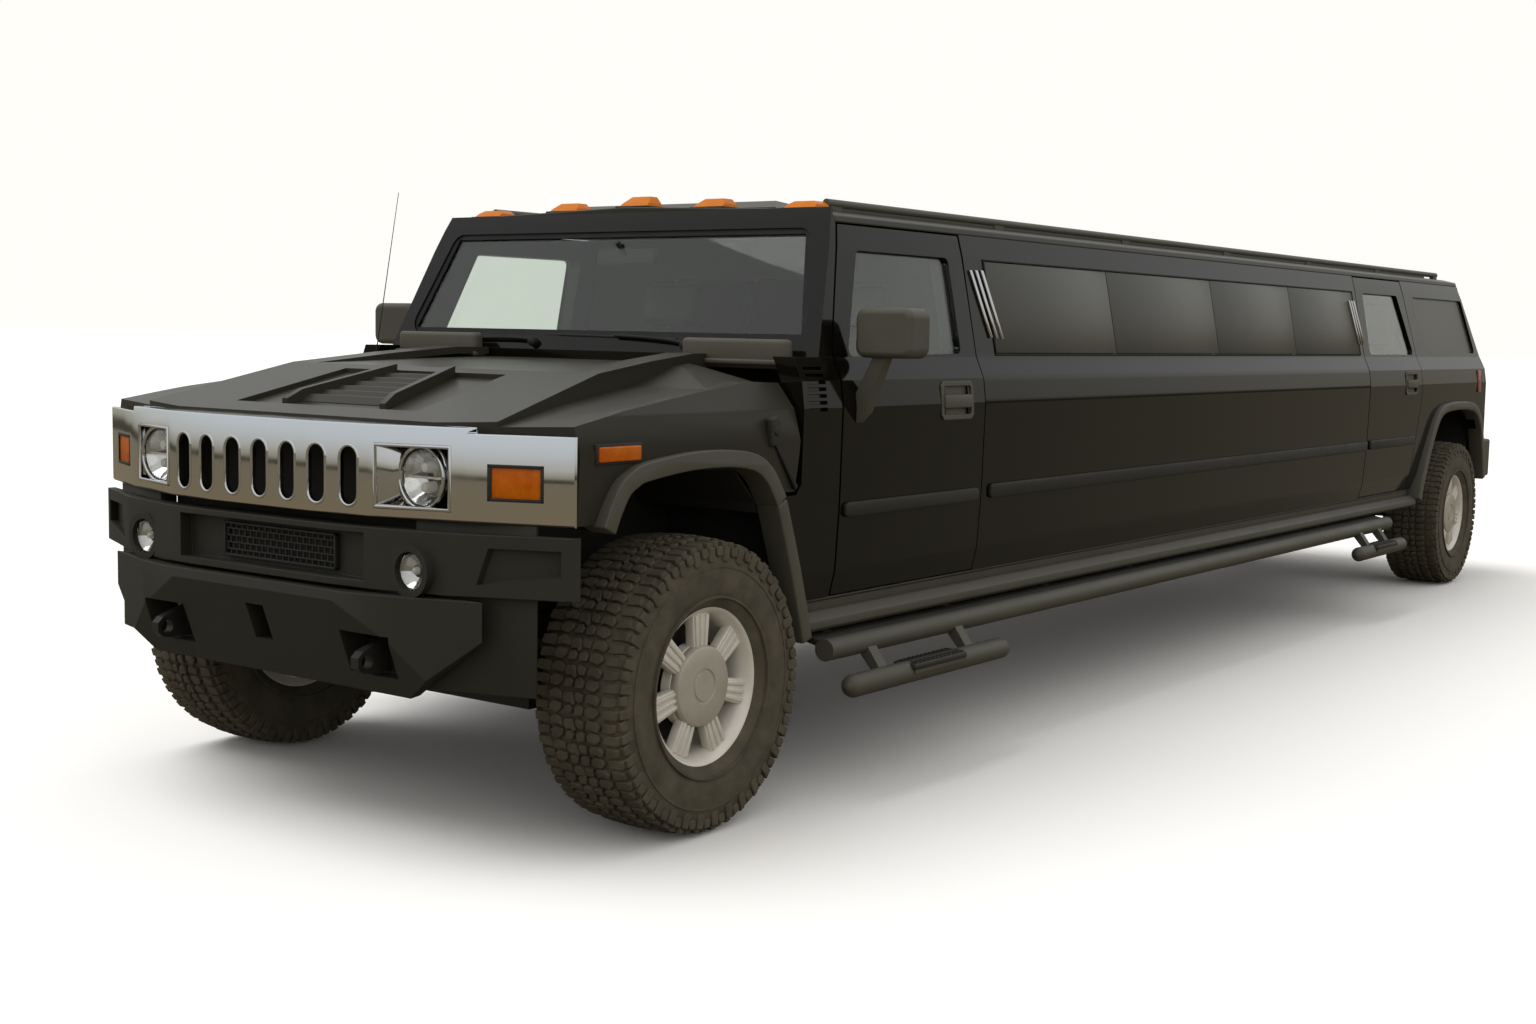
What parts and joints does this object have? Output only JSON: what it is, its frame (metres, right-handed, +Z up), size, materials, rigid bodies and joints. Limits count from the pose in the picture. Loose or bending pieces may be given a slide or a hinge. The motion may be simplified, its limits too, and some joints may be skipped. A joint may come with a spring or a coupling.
{
  "type": "stretch limousine",
  "caption": "Long black stretch limousine on a large off-road wagon, with opening doors, tilting hood, top-hinged liftgate, steered front wheels and a furnished saloon.",
  "frame": {"origin": "on the ground under the middle of the overall length, on the centre line", "axes": "+Z up, front towards -Y, the vehicle's left side towards +X"},
  "size_m": [2.43, 9.012, 1.9059],
  "materials": {
    "body_paint": "gloss black clear coat",
    "satin_plastic": "satin dark grey moulded plastic",
    "chrome": "bright chrome plate",
    "tyre": "black rubber",
    "wheel_alloy": "machined alloy",
    "cast_iron": "cast",
    "chassis_steel": "black chassis paint",
    "engine_metal": "cast",
    "floor_sheet": "dark primer",
    "dark_glass": "privacy tint",
    "tinted_glass": "light green tint",
    "clear_lens": "clear lamp lens",
    "amber_lens": "amber lamp lens",
    "red_lens": "red lamp lens",
    "trim_plastic": "dark interior trim",
    "seat_leather": "black hide"
  },
  "bodies": {
    "chassis": {"amber_lamps": "amber_lens", "body_cladding": "satin_plastic", "bulkhead": "body_paint", "dashboard": "trim_plastic", "exhaust": "chassis_steel", "fixed_side_glass": "dark_glass", "floor_pan": "floor_sheet", "front_bumper": "satin_plastic", "front_seats": "seat_leather", "front_structure": "floor_sheet", "front_suspension": "chassis_steel", "fuel_tank": "chassis_steel", "grille_surround": "chrome", "headlamps": "clear_lens", "hinges": "chassis_steel", "ladder_frame": "chassis_steel", "powertrain": "engine_metal", "rear_axle": "chassis_steel", "rear_body": "body_paint", "rear_bumper": "satin_plastic", "rear_wheelhouses": "floor_sheet", "roof_panel": "body_paint", "roof_rails": "satin_plastic", "saloon_furniture": "trim_plastic", "saloon_seats": "seat_leather", "side_steps": "satin_plastic", "sills": "body_paint", "steering_wheel": "trim_plastic", "stretch_panels": "body_paint", "tail_lamps": "red_lens", "towing_points": "chassis_steel", "windscreen": "tinted_glass", "windscreen_frame": "body_paint"},
    "left_front_door": {"left_front_door": "body_paint", "left_front_door_glass": "tinted_glass", "left_mirror": "body_paint"},
    "left_rear_door": {"left_rear_door": "body_paint", "left_rear_door_glass": "tinted_glass"},
    "right_front_door": {"right_front_door": "body_paint", "right_front_door_glass": "tinted_glass", "right_mirror": "body_paint"},
    "right_rear_door": {"right_rear_door": "body_paint", "right_rear_door_glass": "tinted_glass"},
    "hood": {"hood": "body_paint", "hood_flares": "satin_plastic"},
    "liftgate": {"liftgate": "body_paint", "liftgate_glass": "dark_glass"},
    "left_knuckle": {"left_knuckle": "cast_iron"},
    "left_front_wheel": {"left_front_tyre": "tyre", "left_front_rim": "wheel_alloy"},
    "left_rear_wheel": {"left_rear_tyre": "tyre", "left_rear_rim": "wheel_alloy"},
    "right_knuckle": {"right_knuckle": "cast_iron"},
    "right_front_wheel": {"right_front_tyre": "tyre", "right_front_rim": "wheel_alloy"},
    "right_rear_wheel": {"right_rear_tyre": "tyre", "right_rear_rim": "wheel_alloy"},
    "tie_rod": {"tie_rod": "chassis_steel"}
  },
  "joints": [
    {"name": "left_steer", "type": "hinge", "parent": "chassis", "child": "left_knuckle", "pos_m": [0.7855, -3.693, 0.43], "axis": [0, 0, 1], "range_deg": [-30, 30]},
    {"name": "left_front_wheel_spin", "type": "hinge", "parent": "left_knuckle", "child": "left_front_wheel", "pos_m": [0.8815, -3.693, 0.43], "axis": [1, 0, 0], "continuous": true},
    {"name": "left_rear_wheel_spin", "type": "hinge", "parent": "chassis", "child": "left_rear_wheel", "pos_m": [0.8815, 3.616, 0.43], "axis": [1, 0, 0], "continuous": true},
    {"name": "left_front_door_hinge", "type": "hinge", "parent": "chassis", "child": "left_front_door", "pos_m": [0.984, -2.951, 1.02], "axis": [0, 0, -1], "range_deg": [0, 60]},
    {"name": "left_rear_door_hinge", "type": "hinge", "parent": "chassis", "child": "left_rear_door", "pos_m": [0.984, 2.077, 1.02], "axis": [0, 0, -1], "range_deg": [0, 60]},
    {"name": "right_steer", "type": "hinge", "parent": "chassis", "child": "right_knuckle", "pos_m": [-0.7855, -3.693, 0.43], "axis": [0, 0, 1], "range_deg": [-30, 30]},
    {"name": "right_front_wheel_spin", "type": "hinge", "parent": "right_knuckle", "child": "right_front_wheel", "pos_m": [-0.8815, -3.693, 0.43], "axis": [1, 0, 0], "continuous": true},
    {"name": "right_rear_wheel_spin", "type": "hinge", "parent": "chassis", "child": "right_rear_wheel", "pos_m": [-0.8815, 3.616, 0.43], "axis": [1, 0, 0], "continuous": true},
    {"name": "right_front_door_hinge", "type": "hinge", "parent": "chassis", "child": "right_front_door", "pos_m": [-0.984, -2.951, 1.02], "axis": [0, 0, 1], "range_deg": [0, 60]},
    {"name": "right_rear_door_hinge", "type": "hinge", "parent": "chassis", "child": "right_rear_door", "pos_m": [-0.984, 2.077, 1.02], "axis": [0, 0, 1], "range_deg": [0, 60]},
    {"name": "hood_hinge", "type": "hinge", "parent": "chassis", "child": "hood", "pos_m": [0, -4.293, 1.168], "axis": [1, 0, 0], "range_deg": [0, 60]},
    {"name": "liftgate_hinge", "type": "hinge", "parent": "chassis", "child": "liftgate", "pos_m": [0, 3.934, 1.745], "axis": [1, 0, 0], "range_deg": [0, 80]},
    {"name": "tie_rod_slide", "type": "slide", "parent": "chassis", "child": "tie_rod", "axis": [1, 0, 0], "range_m": [-0.069, 0.069]}
  ],
  "couplings": [
    {"joint": "right_steer", "follows": "left_steer", "ratio": 1},
    {"joint": "tie_rod_slide", "follows": "left_steer", "m_per_rad": -0.13}
  ]
}
